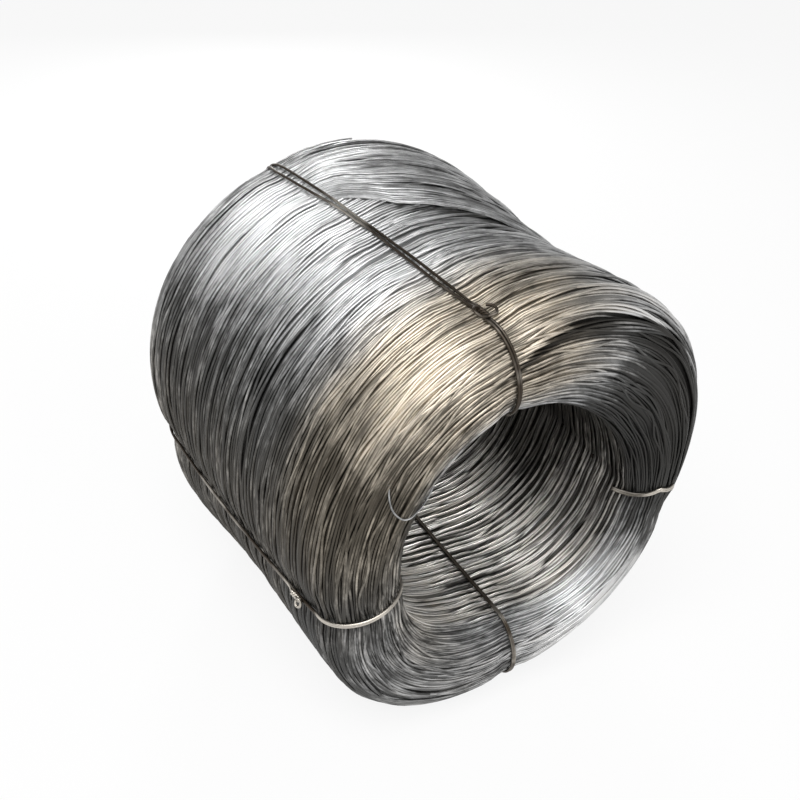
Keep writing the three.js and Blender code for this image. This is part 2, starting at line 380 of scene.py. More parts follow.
def periodic_noise(random, count, waves):
    """Rows of noise round the coil, each closed on itself, with the given wave counts."""
    total = np.zeros((count, COLUMNS))
    for wave in waves:
        phase = random.uniform(0, TURN, (count, 1))
        total += random.normal(0, 1, (count, 1)) * np.cos(wave * ANGLES + phase)
    return total / math.sqrt(len(waves) / 2)


def turned_to(angles):
    """Angles in degrees from -90, the underside, round to 270."""
    return np.mod(np.degrees(angles) + 90, 360) - 90


def turned_from(middle):
    """How many degrees each column lies from an angle, the short way round."""
    return np.mod(DEGREES - middle + 180, 360) - 180


def waves_round(size, length):
    """The phase of waves of about a size that close on themselves round the section."""
    return TURN * round(ROUND / size) * length / ROUND


def rib_place(length, angles=ANGLES):
    """Where each place of the bore lies on its rib: whole turns at the crests."""
    slow = 1.4 * np.cos(2 * angles + 0.7)
    return waves_round(BORE_RIB, length) + slow + 0.9 * np.cos(3 * angles - 9.0 * length)


def rib_strength(length, angles=ANGLES):
    """How far the bore's turns lie in ribs: least on the lower left."""
    plain = hump((turned_to(angles) - PLAIN_WALL) / 30)
    return zone_share("bore", length) * (1 - 0.85 * plain)


def parting(away, width, edge, reach=GIVING_WAY):
    """How far turns are pushed aside by a parting, at a distance from its middle."""
    return width * np.tanh(away / edge) * np.exp(-np.abs(away) / reach)


def furrow_shift(length):
    """How far the turns part at the furrow, and how deep it is."""
    middle, width = (np.interp(DEGREES, FURROW[0], row) for row in FURROW[1:])
    away = past(length, middle)
    deep = -FURROW_DEPTH * width * hump(away / (0.45 * width + 0.003))
    return parting(away, 0.6 * width, 0.0016), deep


def gathered(length, sway):
    """How far the turns at each place shift and rise together, in bands and partings."""
    random = np.random.default_rng(11)
    shift = np.zeros_like(length)
    rise = np.zeros_like(length)
    for size in SWAY_WAVES:
        for wave in (1, 2, 3):
            phase, turn = random.uniform(0, TURN, 2)
            drift = 1.2 * np.cos(ANGLES * random.integers(1, 3) + turn)
            place = waves_round(size, length) + wave * ANGLES + phase + drift
            shift += sway / 2 * np.cos(place)
    for zone, (sizes, crowd, height) in BANDS.items():
        share = zone_share(zone, length)
        for size in sizes:
            for wave in (-2, 0, 1, 3):
                phase, turn, swell = random.uniform(0, TURN, 3)
                drift = random.uniform(0.5, 1.5) * np.cos(ANGLES * random.integers(1, 4) + turn)
                swelling = 0.6 + 0.4 * np.cos(random.integers(2, 6) * ANGLES + swell)
                strength = share * swelling / math.sqrt(2 * len(sizes))
                place = waves_round(size, length) + wave * ANGLES + phase + drift
                shift -= strength * crowd * size / TURN * np.sin(place)
                rise += strength * height * np.cos(place)
    uneven = 0.85 + 0.15 * np.cos(ANGLES * 3 + 23.0 * length)
    strength = RIB_CROWDING * rib_strength(length) * uneven
    shift -= strength * BORE_RIB / TURN * np.sin(rib_place(length))
    rise += RIB_HEIGHT * strength * np.cos(rib_place(length))
    for _ in range(PARTINGS):
        middle = random.uniform(0, ROUND)
        span = random.uniform(*PARTING_SPAN)
        width = random.uniform(*PARTING_WIDTH)
        lens = hump(turned_from(random.uniform(0, 360)) / span)
        shift += parting(past(length, middle), width / 2 * lens, PARTING_EDGE)
    for middle, centre, turned, reach, height in PRESSED:
        across = past(length, centre) / reach
        rise += height * np.exp(-((turned_from(middle) / turned) ** 2) - across**2)
    parted, sunk_in = furrow_shift(length)
    shift += parted
    rise += sunk_in
    away = np.mod(length, ROUND) - np.interp(DEGREES, *CROSSING_EDGE)
    strength = window(DEGREES, -30, 20, 80, 108)
    shift += parting(away, 0.0025 * strength, 0.004, 0.03)
    rise -= CROSSING_STEP * strength * hump((away - 0.007) / 0.009)
    return shift, rise


def painted_light(length, angles=ANGLES):
    """How much painted light or painted shade each place gets, by its zone and the side it lies on.
    """
    around = turned_to(angles)
    wrapped = np.mod(length, ROUND)
    total = 0
    for zone, (degrees, shares) in PAINTED_LIGHT.items():
        total = total + zone_share(zone, length) * np.interp(around, degrees, shares, period=360)
    away = past(length, np.interp(around, *FURROW[:2]))
    reach = np.interp(around, (50, 75, 100), (0.050, 0.024, 0.006))
    shaded = 0.5 * (1 - smooth(away / reach, 0.4, 1.2)) + 0.6 * (1 - smooth(away, 0.003, 0.009))
    edge = wrapped - np.interp(around, *CROSSING_EDGE)
    ribs = rib_strength(length, angles)
    places = {
        "deep": smooth(wrapped, 0.40, 0.62)
        * zone_share("bore", length)
        * (1 - smooth(np.abs(around - 20), 45, 88)),
        "furrow": window(around, 15, 35, 98, 108) * smooth(away, -0.004, -0.001) * shaded,
        "rim": window(away, -0.16, -0.08, -0.008, -0.002) * window(around, 30, 55, 84, 98),
        "below": window(around, -20, 20, 85, 105) * hump((edge - 0.010) / 0.012),
        "valley": smooth(-np.cos(rib_place(length, angles)), 0.1, 0.9) * ribs,
        "rearward": zone_share("outer", length)
        * (1 - smooth(wrapped, 1.38, 1.62))
        * window(around, 108, 120, 134, 156),
    }
    return total + sum(change * places[name] for name, change in PAINTED_LIGHT_CHANGES.items())


def warm_film_and_reflection(length, angles=ANGLES):
    """How warm each place is: a painted warm reflection on the front part of the top, a yellowish
    film in the bore and a brown film low on the left.
    """
    around = turned_to(angles)
    bore = zone_share("bore", length)
    forward = window(past(length), -0.25, -0.04, 0.12, 0.24)
    top = window(around, 60, 95, 150, 215)
    low_left = window(around, 130, 185, 235, 265)
    elsewhere = 0.45 * low_left * (1 - bore) + 0.4 * bore
    return forward * (0.15 + 0.85 * top) + (1 - forward) * elsewhere


def spread(height, fall, reach):
    """The lowest stiff rod over a row of heights: it falls away from each hump gently."""
    shape = height.copy()
    for step in range(1, reach + 1):
        drop = fall * step * step
        shape = np.maximum(shape, np.roll(height, step, -1) - drop)
        shape = np.maximum(shape, np.roll(height, -step, -1) - drop)
    return shape


class Pile:
    """Turns laid one after another, each over those already under it."""

    ABSENT = -9.0
    STIFFNESS = 0.0005

    def __init__(self, diameter, limit):
        self.diameter = diameter
        self.limit = limit
        self.real, self.nominal, self.height = np.zeros((3, 0, COLUMNS))
        self.lengths = np.linspace(0, ROUND, 480)
        steps = np.diff(coil_point(ANGLES[:, None], self.lengths), axis=1)
        sums = np.cumsum(np.linalg.norm(steps, axis=-1), 1)
        self.table = np.concatenate([np.zeros((COLUMNS, 1)), sums], 1)

    def real_length(self, length):
        """Real length round the section, column by column."""
        wrapped = np.mod(length, ROUND)
        columns = (np.interp(wrapped[:, k], self.lengths, self.table[k]) for k in range(COLUMNS))
        return np.stack(list(columns), -1)

    def lay(self, length, base, order, present=True, limit=None):
        """Lays turns in the given order and returns their heights over the base."""
        real = self.real_length(length)
        around = self.table[:, -1]
        top = limit or self.limit
        heights = np.zeros_like(real)
        for turn in order:
            resting = base[turn]
            if len(self.real):
                gap = np.abs(self.real - real[turn])
                gap = np.minimum(gap, np.abs(around - gap))
                rise = np.sqrt(np.maximum(self.diameter**2 - gap**2, 0))
                over = np.where(gap < self.diameter, self.height + rise, -1)
                resting = np.maximum(resting, over.max(0))
            laid = spread(resting, self.STIFFNESS, 5)
            laid = np.where(laid > 0, top * np.tanh(laid / top), laid)
            heights[turn] = laid
            self.real = np.vstack([self.real, np.where(present, real[turn], self.ABSENT)])
            self.nominal = np.vstack([self.nominal, np.mod(length[turn], ROUND)])
            self.height = np.vstack([self.height, laid])
        return heights


def place_turns(random):
    """Where each full turn lies round the section at each column, and its zone."""
    settings = bpy.context.scene.coil_turns
    rows, zones = [], []
    spans = (
        ("front", 0, FRONT_END, settings.front_pitch),
        ("bore", FRONT_END, BORE_END, settings.bore_pitch),
        ("rear", BORE_END, REAR_END, settings.rear_pitch),
        ("outer", REAR_END, ROUND, settings.outer_pitch),
    )
    for zone, start, end, pitch in spans:
        count = round((end - start) / pitch)
        rows.extend(start + (index + 0.5) * (end - start) / count for index in range(count))
        zones.extend([zone] * count)
    jitter = random.uniform(-0.15, 0.15, (len(rows), 1)) * settings.rod_diameter
    own = periodic_noise(random, len(rows), (2, 3, 5, 8, 12, 17)) * settings.wander
    return np.array(rows)[:, None] + jitter + own, np.array(zones)


# ---- Node trees, and wire from paths ----


class Value:
    """A value in a node tree that takes part in Python sums, and a maker of other nodes."""

    def __init__(self, tree, socket=None):
        self.tree = tree
        self.socket = socket

    def feed(self, target, value):
        """Links a value to a socket, or sets it there."""
        if isinstance(value, Value):
            value = value.socket
        if isinstance(value, bpy.types.NodeSocket):
            self.tree.links.new(value, target)
        else:
            target.default_value = value

    def node(self, kind, *values, out=0, **named):
        """An output of a new node; small names are its settings, the others its sockets."""
        made = self.tree.nodes.new(kind)
        for name in [name for name in named if name.islower()]:
            setattr(made, name, named.pop(name))
        for place, value in enumerate(values):
            self.feed(made.inputs[place], value)
        for name, value in named.items():
            self.feed(made.inputs[name.replace("_", " ")], value)
        return Value(self.tree, made.outputs[out]) if made.outputs else None

    def sum(self, operation, *values):
        return self.node("ShaderNodeMath", *values, operation=operation)

    def __add__(self, other):
        return self.sum("ADD", self, other)

    def __sub__(self, other):
        return self.sum("SUBTRACT", self, other)

    def __rsub__(self, other):
        return self.sum("SUBTRACT", other, self)

    def __mul__(self, other):
        return self.sum("MULTIPLY", self, other)

    def between(self, low, high):
        """A smooth rise from 0 at low to 1 at high."""
        ends = {"From_Min": low, "From_Max": high}
        return self.node("ShaderNodeMapRange", self, interpolation_type="SMOOTHSTEP", **ends)

    def mix(self, factor, low, high):
        """A colour between two, by factor."""
        low, high = (end if isinstance(end, Value) else (*end, 1.0) for end in (low, high))
        return self.node("ShaderNodeMix", factor, out=2, data_type="RGBA", A=low, B=high)

    def vector(self, operation, *values, out=0, **named):
        return self.node("ShaderNodeVectorMath", *values, out=out, operation=operation, **named)

    def part(self, vector, axis):
        return self.node("ShaderNodeSeparateXYZ", vector, out=axis)

    def stored(self, name):
        """The number kept on a piece under a name."""
        return self.node("ShaderNodeAttribute", out="Fac", attribute_name=name)

    def noise(self, place, dimensions="3D", **named):
        return self.node("ShaderNodeTexNoise", place, noise_dimensions=dimensions, **named)


def wire_tree(material):
    """Geometry nodes that turn paths into round wire of one diameter."""
    tree = bpy.data.node_groups.new("Wire from paths", "GeometryNodeTree")
    sockets = {"Paths": "Geometry", "Diameter": "Float", "Sides": "Int", "Seed": "Int"}
    for name, kind in sockets.items():
        tree.interface.new_socket(name, in_out="INPUT", socket_type=f"NodeSocket{kind}")
    tree.interface.items_tree["Diameter"].subtype = "DISTANCE"
    tree.interface.new_socket("Wire", in_out="OUTPUT", socket_type="NodeSocketGeometry")
    make = Value(tree)
    given = tree.nodes.new("NodeGroupInput").outputs
    curve = make.node("GeometryNodeMeshToCurve", given["Paths"])
    tone = make.node("FunctionNodeRandomValue", out="Value", data_type="FLOAT", Seed=given["Seed"])
    kept = {"Geometry": curve, "Name": "tone", "Value": tone}
    curve = make.node(
        "GeometryNodeStoreNamedAttribute", data_type="FLOAT", domain="CURVE", **kept
    )
    half = make.sum("MULTIPLY", given["Diameter"], 0.5)
    ring = make.node("GeometryNodeCurvePrimitiveCircle", Resolution=given["Sides"], Radius=half)
    wire = make.node("GeometryNodeCurveToMesh", curve, ring, Fill_Caps=True)
    wire = make.node("GeometryNodeSetShadeSmooth", wire)
    wire = make.node("GeometryNodeRealizeInstances", wire)
    wire = make.node("GeometryNodeSetMaterial", wire, Material=material)
    make.node("NodeGroupOutput", wire)
    return tree


def add_object(name, data):
    """Puts an object with the given data into the scene."""
    made = bpy.data.objects.new(name, data)
    bpy.context.scene.collection.objects.link(made)
    return made


def store(mesh, values):
    """Keeps numbers at each of a mesh's points, by name."""
    for name, value in values.items():
        kept = mesh.attributes.new(name, "FLOAT", "POINT")
        kept.data.foreach_set("value", np.ravel(value).astype(np.float32))


def make_wire(name, paths, closed, diameter, sides, material, seed, values):
    """A plain mesh of round wire along each path, with numbers kept at its points."""
    edges, start = [], 0
    for path in paths:
        ends = np.arange(start, start + len(path))
        steps = np.column_stack([ends, np.roll(ends, -1)])
        edges.append(steps if closed else steps[:-1])
        start += len(path)
    mesh = bpy.data.meshes.new(name)
    mesh.from_pydata(np.concatenate(paths).tolist(), np.concatenate(edges).tolist(), [])
    store(mesh, {label: np.concatenate(value) for label, value in values.items()})
    piece = add_object(name, mesh)
    modifier = piece.modifiers.new("Wire", "NODES")
    modifier.node_group = wire_tree(material)
    given = {"Diameter": diameter, "Sides": sides, "Seed": seed}
    for item in modifier.node_group.interface.items_tree:
        if item.in_out == "INPUT" and item.name in given:
            modifier[item.identifier] = given[item.name]
    graph = bpy.context.evaluated_depsgraph_get()
    made = bpy.data.meshes.new_from_object(piece.evaluated_get(graph), depsgraph=graph)
    piece.modifiers.clear()
    piece.data = made
    made.name = name
    bpy.data.meshes.remove(mesh)
    if not len(made.polygons):
        raise RuntimeError(f"{name} came out empty")
    return piece


# ---- Finishes ----

# How fine the marks on a turn are along it and across the turns, and how far the ends'
# radius counts as a length across them.
MARKS_ALONG = 4.5
MARKS_ACROSS = 22.0
RADIUS_SHARE = 1.3

# Noise on each turn by itself, on turns together and on the tie wire; then how far one
# turn's noise lies from another's in the first two.
STREAKS = {"Scale": 1.6, "Detail": 5.0, "Roughness": 0.6}
PATCHES = {"Scale": 1.0, "Detail": 5.0, "Roughness": 0.62}
TIE_RUBBING = {"Scale": 9.0, "Detail": 4.0}
STREAKS_APART = 60.0
PATCHES_APART = 0.6


def new_material(name, slot_colour):
    """A new metal material, a maker of its nodes and its shader's inputs."""
    material = bpy.data.materials.new(name)
    material.use_nodes = True
    material.diffuse_color = (*slot_colour, 1.0)
    inputs = material.node_tree.nodes["Principled BSDF"].inputs
    inputs["Metallic"].default_value = 1.0
    return material, Value(material.node_tree), inputs


def along_turns(shade):
    """Coordinates drawn out along the turns, for marks that follow them."""
    place = shade.node("ShaderNodeTexCoord", out="Object")
    apart = shade.vector("SUBTRACT", place, ORIGIN.tolist())
    across = shade.vector("MULTIPLY", apart, (0.0, 1.0, 1.0))
    drawn = shade.vector("SCALE", shade.vector("NORMALIZE", across), Scale=MARKS_ALONG)
    radius = shade.vector("LENGTH", across, out="Value")
    length = (shade.part(apart, "X") + radius * RADIUS_SHARE) * MARKS_ACROSS
    return shade.vector("ADD", drawn, shade.node("ShaderNodeCombineXYZ", length))


def rod_steel(name="Rod steel", share=1.0):
    """Bare rod, each turn of its own tone, with random rubbed and scaled places: painted light on
    its top and lit sides, painted shade below, on its shaded sides and between the turns.
    """
    found = bpy.data.materials.get(name)
    if found:
        return found
    look = bpy.context.scene.coil_finish
    material, shade, inputs = new_material(name, look.rod_colour)
    place = along_turns(shade)
    upward = shade.part(shade.node("ShaderNodeNewGeometry", out="Normal"), "Z")
    tone, depth, side, film = (shade.stored(n) for n in ("tone", "depth", "clean", "warm"))
    streak = shade.noise(place, "4D", W=tone * STREAKS_APART, **STREAKS)
    patch = shade.noise(place, "4D", W=tone * PATCHES_APART, **PATCHES)
    # Painted light: the place's painted light, with faces turned upwards painted lighter, mixed
    # with each turn's random tone, streaks and patches; high values take the lit colour.
    rubbed = side + upward.between(-0.6, 0.9) * 0.3 + tone * 0.24 + streak * 1.5 + patch * 1.2
    bright = (rubbed - 1.82).between(-0.1, 1.0)
    warm = (film + patch * 0.5 + tone * 0.12 - 0.3).between(0.0, 1.0)
    clean = shade.mix(warm, look.rod_colour, look.warm_colour)
    scale = shade.mix(warm, look.dark_colour, look.brown_colour)
    colour = shade.mix(bright, scale, clean)
    # Painted shade between the turns, strongest on turns that lie low and where the painted light
    # is low; and painted shade where the painted light falls below zero.
    painted_gap_shade = (1.0 - depth.between(0.0, 0.9)) * (0.80 - side * 0.72)
    painted_deep_shade = (0.0 - side).between(-0.1, 0.5) * 0.75
    colour = shade.mix(shade.sum("MAXIMUM", painted_gap_shade, painted_deep_shade), colour, look.grime_colour)
    # The inner layer's colour is darkened towards black by its share, a painted shade.
    shade.feed(inputs["Base Color"], shade.mix(1.0 - share, colour, (0.0, 0.0, 0.0)))
    shade.feed(inputs["Roughness"], 0.50 - bright * 0.05 + painted_gap_shade * 0.15)
    return material


def tie_steel():
    """Annealed tie wire, dark, with random rubbed places and a painted highlight where it runs over
    the front end.
    """
    found = bpy.data.materials.get("Tie steel")
    if found:
        return found
    look = bpy.context.scene.coil_finish
    material, shade, inputs = new_material("Tie steel", look.tie_colour)
    rub = shade.noise(shade.node("ShaderNodeTexCoord", out="Object"), **TIE_RUBBING)
    rubbed = (rub + shade.stored("bare") * 0.26 - 0.06).between(0.42, 0.72)
    shade.feed(inputs["Base Color"], shade.mix(rubbed, look.tie_colour, look.tie_rubbed_colour))
    shade.feed(inputs["Roughness"], 0.5 - rubbed * 0.15)
    return material


# ---- What a user may change ----


def amount(name, description, default, **more):
    given = {"name": name, "description": description, "default": default, "min": 0.0}
    return FloatProperty(**{**given, **more})


def metres(*given):
    return amount(*given, unit="LENGTH", precision=4)


def portion(*given, **more):
    return amount(*given, max=1.0, subtype="FACTOR", **more)


def watts(*given):
    return amount(*given, unit="POWER")


def whole(name, description, default, least):
    return IntProperty(name=name, description=description, default=default, min=least)


def tint(name, description, default):
    given = {"name": name, "description": description, "default": default}
    return FloatVectorProperty(**given, size=3, min=0.0, max=1.0, subtype="COLOR")


class CoilTurns(bpy.types.PropertyGroup):
    rod_diameter: metres("Rod diameter", "Diameter of the wound rod", 0.0065)
    outer_pitch: metres("Outer pitch", "Mean distance between turns on the outside", 0.0064)
    front_pitch: metres("Front pitch", "Mean distance between turns on the front end", 0.0064)
    bore_pitch: metres("Bore pitch", "Mean distance between turns in the bore", 0.0077)
    rear_pitch: metres("Rear pitch", "Mean distance between turns on the rear end", 0.0068)
    nesting: portion("Nesting", "Share of the rod's diameter that keeps turns apart", 0.86, min=0.5)
    sway: metres("Sway", "How far neighbouring turns wander together", 0.0016)
    wander: metres("Wander", "How far each turn wanders by itself", 0.0013)
    unevenness: metres("Unevenness", "How far each turn rises and sinks by itself", 0.0006)
    pile_height: amount(
        "Pile height", "Height that piled turns are pressed down to, in rod diameters", 0.9, min=0.1
    )
    stray_wander: metres("Stray wander", "How far the looser turns wander", 0.0036)
    stray_share: portion("Stray share", "Share of looser turns laid over the others", 0.28)
    crossing_turns: whole("Crossing turns", "Turns that cross over the back of the top", 46, 2)
    inner_depth: amount("Inner depth", "Depth of the inner layer, in rod diameters", 0.42)
    seed: whole("Seed", "Which arrangement of turns is made", 4, 0)


class CoilTies(bpy.types.PropertyGroup):
    wire_diameter: metres("Tie wire", "Diameter of the tie wire", 0.006)
    knot_length: metres("Knot length", "Length of the twisted part of a knot", 0.034)
    knot_turns: amount("Knot turns", "Turns of the twist in a knot", 2.5, min=0.5)


class CoilFinish(bpy.types.PropertyGroup):
    # The rod and warm rod colours are the rod's painted lit colour, the warm one also a painted
    # warm reflection; the scale and brown scale colours are its painted shaded colour, which random
    # dark scale also takes; the grime colour is the painted shade between the turns and in the
    # darkest painted shade; the rubbed tie colour is both the tie's random rubbing and its painted
    # highlight.
    rod_colour: tint("Rod", "Rod steel rubbed clean", (0.76, 0.765, 0.77))
    warm_colour: tint("Warm rod", "Clean rod with a thin yellowish film", (0.78, 0.70, 0.58))
    dark_colour: tint("Scale", "Rod with its dark scale left on it", (0.075, 0.075, 0.073))
    brown_colour: tint("Brown scale", "Scale with a thin brown film", (0.095, 0.083, 0.066))
    grime_colour: tint("Grime", "Dust and dark grease between the turns", (0.035, 0.033, 0.03))
    tie_colour: tint("Tie", "Annealed tie wire", (0.065, 0.052, 0.04))
    tie_rubbed_colour: tint("Rubbed tie", "Tie wire where it is rubbed", (0.58, 0.54, 0.48))


class CoilStage(bpy.types.PropertyGroup):
    floor_colour: tint("Floor", "Plain pale floor", (0.94, 0.94, 0.94))
    key_power: watts("Key light", "Power of the main softbox", 530.0)
    fill_power: watts("Fill light", "Power of the second softbox", 82.0)
    bore_power: watts("Bore light", "Power of the softbox that looks in from the rear", 60.0)
    world_level: amount("Room light", "Level of the light from all round", 0.2)
    floor_glow: portion("Floor lift", "How far the floor is lifted to white where it is seen", 0.88)


# ---- Pieces ----

# Sides of the rod's and the tie wire's round section, and of a single loose end's.
ROD_SIDES = 6
TIE_SIDES = 10
LOOSE_SIDES = 8

# The inner layer: how deep the valleys between its turns are, in rod diameters, how much
# of its colour is kept under a painted shade, and how far its places count as lying low
# for the painted shade between the turns.
INNER_VALLEY = 0.36
INNER_SHARE = 0.85
INNER_DEPTH = 0.6


@lru_cache
def laid_turns():
    """Lays every turn and keeps the result until the turns are made anew."""
    settings = bpy.context.scene.coil_turns
    rod = settings.rod_diameter
    random = np.random.default_rng(settings.seed)
    pile = Pile(rod * settings.nesting, rod * settings.pile_height)

    nominal, zones = place_turns(random)
    shift, rise = gathered(nominal, settings.sway)
    lengths = nominal + shift
    rise = rise + periodic_noise(random, len(lengths), (1, 2, 4, 6, 9)) * settings.unevenness
    heights = pile.lay(lengths, rise, random.permutation(len(lengths)))

    first, last = CROSSING_EDGE[0][0], CROSSING_EDGE[0][-1]
    inside = (DEGREES > first) & (DEGREES < last)
    edge = np.interp(DEGREES, *CROSSING_EDGE)
    share = (np.arange(settings.crossing_turns) + 0.5)[:, None] / settings.crossing_turns
    crossing = CROSSING_BACK + (edge - CROSSING_BACK) * share**0.9
    crossing = crossing + periodic_noise(random, len(crossing), (2, 3, 5, 7)) * settings.wander
    order = random.permutation(len(crossing))
    bed = np.full_like(crossing, -rod)
    over = pile.lay(crossing, bed, order, inside, CROSSING_LIMIT * rod)
    tucked = 1 - smooth(DEGREES, first, first + 25) + smooth(DEGREES, last - 16, last - 4)

    count = round(settings.stray_share * len(lengths))
    strays = random.uniform(0, ROUND, (count, 1))
    strays = strays + periodic_noise(random, count, (2, 4, 7, 11, 15)) * settings.stray_wander
    strays = strays + 1.5 * furrow_shift(strays)[0]
    waves = np.array(FURROW_STRAYS)[:, None]
    across = FURROW_WANDER * np.sin(waves * (ANGLES - 0.95))
    across = across + np.linspace(-0.007, 0.007, len(waves))[:, None]
    strays = np.vstack([strays, FURROW_MIDDLE + across])
    _, under = gathered(strays, settings.sway)
    loose = pile.lay(strays, under, range(len(strays)))

    level = np.mean(heights)
    sets = {
        "turns": (lengths, heights),
        "crossing": (crossing, over - tucked * 2.2 * rod),
        "strays": (strays, loose),
    }
    laid = {name: (where, high - level - rod / 2) for name, (where, high) in sets.items()}
    laid.update(zones=zones, inside=inside, pile=pile, level=level, rod=rod)
    return laid


def resting_lift(angle, length):
    """The highest rod centre near each place, at any angle, for a wire to rest on."""
    laid = laid_turns()
    pile, rod = laid["pile"], laid["rod"]
    column = np.mod((angle - ANGLES[0]) / TURN * COLUMNS, COLUMNS)
    low = np.floor(column).astype(int) % COLUMNS
    high, blend = (low + 1) % COLUMNS, column - np.floor(column)
    top = np.zeros(len(length))
    for k, (a, b, share) in enumerate(zip(low, high, blend)):
        rows = pile.nominal, pile.height
        place, lift = (row[:, a] * (1 - share) + row[:, b] * share for row in rows)
        near = (np.abs(past(place, length[k])) < rod) & (pile.real[:, [a, b]] > -1).all(1)
        top[k] = lift[near].max() - laid["level"] - rod / 2 if near.any() else -rod
    return top


class COIL_OT_core(bpy.types.Operator):
    """Make the layer of turns that shows between the outermost ones"""

    bl_idname = "coil.core"
    bl_label = "Inner layers"

    def execute(self, context):
        settings = context.scene.coil_turns
        rod = settings.rod_diameter
        count = 2 * round(ROUND / rod)
        nominal = (np.arange(count) * ROUND / count)[:, None] + np.zeros(COLUMNS)
        shift, rise = gathered(nominal, settings.sway)
        ridge = np.where(np.arange(count) % 2, 0.0, -INNER_VALLEY)[:, None] * rod
        ribbed = rib_strength(nominal)
        bore = zone_share("bore", nominal)
        depth = (settings.inner_depth + ribbed - 0.5 * (bore - ribbed)) * rod
        points = coil_point(ANGLES, nominal + shift, rise + ridge - depth)
        index = np.arange(count * COLUMNS).reshape(count, COLUMNS)
        down, across = np.roll(index, -1, 0), np.roll(index, -1, 1)
        faces = np.stack([index, across, np.roll(down, -1, 1), down], -1).reshape(-1, 4)
        mesh = bpy.data.meshes.new("inner_layers")
        mesh.from_pydata(points.reshape(-1, 3).tolist(), [], faces.tolist())
        mesh.polygons.foreach_set("use_smooth", [True] * len(mesh.polygons))
        tones = np.random.default_rng(settings.seed).uniform(0, 1, count // 2)
        values = {
            "tone": np.repeat(tones, 2 * COLUMNS),
            "depth": INNER_DEPTH * (1 - bore),
            "clean": painted_light(nominal),
            "warm": warm_film_and_reflection(nominal),
        }
        store(mesh, values)
        mesh.materials.append(rod_steel("Inner turns", INNER_SHARE))
        piece = add_object("inner_layers", mesh)
        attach(piece, "root")
        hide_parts("wire_coil")
        return {"FINISHED"}


class COIL_OT_turns(bpy.types.Operator):
    """Lay the turns of rod over the outside, the ends and through the bore"""

    bl_idname = "coil.turns"
    bl_label = "Turns of rod"

    def execute(self, context):
        laid_turns.cache_clear()
        laid = laid_turns()
        zones = laid["zones"]
        lengths, lifts = laid["turns"]
        outer, bore = zones == "outer", zones == "bore"
        outer_front = lengths.mean(1) >= (REAR_END + ROUND) / 2
        bore_rear = lengths.mean(1) >= (FRONT_END + BORE_END) / 2
        pieces = {
            "outer_turns_rear": outer & ~outer_front,
            "outer_turns_front": outer & outer_front,
            "front_end_turns": zones == "front",
            "bore_turns_front": bore & ~bore_rear,
            "bore_turns_rear": bore & bore_rear,
            "rear_end_turns": zones == "rear",
        }
        for name, chosen in pieces.items():
            self.turns(name, lengths[chosen], lifts[chosen])
        lengths, lifts = laid["strays"]
        # The loose turns that cross the furrow get extra painted light, a painted highlight on
        # them.
        lighter = np.zeros_like(lengths)
        lighter[-len(FURROW_STRAYS) :] = 0.45 * window(DEGREES, 15, 35, 62, 84)
        self.turns("loose_turns", lengths, lifts, lighter=lighter)
        lengths, lifts = laid["crossing"]
        inside = laid["inside"]
        self.turns("crossing_turns", lengths[:, inside], lifts[:, inside], ANGLES[inside])
        return {"FINISHED"}

    def turns(self, name, lengths, lifts, angles=ANGLES, lighter=0.0):
        rod = laid_turns()["rod"]
        points = coil_point(angles, lengths, lifts)
        closed = len(angles) == COLUMNS
        seed = len(bpy.data.objects)
        values = {
            "depth": np.clip(1.0 + (lifts / rod + 0.5) * 0.6, 0, 1),
            "clean": painted_light(lengths, angles) + lighter,
            "warm": warm_film_and_reflection(lengths, angles),
        }
        piece = make_wire(name, points, closed, rod, ROD_SIDES, rod_steel(), seed, values)
        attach(piece, "root")
        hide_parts("wire_coil")


# The gap between a tie's two wraps.
WRAP_GAP = 0.0003

# How gently a tight tie and a loose end bridge the gaps between the turns under them:
# how fast they fall away from a crest, and over how many steps.
TIE_BRIDGING = (0.00003, 18)
END_BRIDGING = (0.0001, 12)

# The bent ends past a knot's twist, for each hand: along it, sideways and outwards.
KNOT_BENDS = {
    1: (
        (0.004, 0.009, 0.005), (0.005, 0.017, 0.011), (-0.003, 0.022, 0.017),
        (-0.013, 0.019, 0.018), (-0.019, 0.011, 0.013), (-0.020, 0.004, 0.008),
    ),
    -1: (
        (0.006, -0.007, 0.003), (0.006, -0.015, 0.005), (-0.003, -0.020, 0.007),
        (-0.013, -0.018, 0.008), (-0.020, -0.011, 0.007),
    ),
}


def straying(index, kind, nominal):
    """How far a tie strays from its straight run, at lengths round the section."""
    return np.interp(nominal, *STRAYING.get((TIE_NAMES[index], kind), ((0,), (0,))))


def tie_angle(index, nominal, sideways):
    """The angles of a tie at lengths round the section, moved sideways."""
    share = (1 - section_at(nominal)[0] / HALF_LENGTH) / 2
    middle = TIE_FRONT[index] + (TIE_REAR[index] - TIE_FRONT[index]) * share
    return middle + sideways / NOMINAL_OUTER


def tie_line(index, nominal, sideways, lift):
    """Points of a tie at lengths round the section, moved sideways and lifted."""
    slant = np.radians(straying(index, "slant", nominal))
    return coil_point(tie_angle(index, nominal, sideways) + slant, nominal, lift)


def tie_lift(index, nominal, sideways, rod, wire):
    """How high a tight tie lies over the turns."""
    over = resting_lift(tie_angle(index, nominal, sideways), nominal)
    return spread(over, *TIE_BRIDGING) + (rod + wire) / 2


def flowing(nodes, steps=9):
    """A smooth row of points through the given ones."""
    nodes = np.array(nodes, float)
    ends = np.vstack([2 * nodes[0] - nodes[1], nodes, 2 * nodes[-1] - nodes[-2]])
    rows = []
    for k in range(len(nodes) - 1):
        a, b, c, d = ends[k : k + 4]
        squared, cubed = (2 * a - 5 * b + 4 * c - d) / 2, (3 * b - a - 3 * c + d) / 2
        for t in np.linspace(0, 1, steps, endpoint=k == len(nodes) - 2):
            rows.append(b + (c - a) * t / 2 + squared * t**2 + cubed * t**3)
    return np.array(rows)


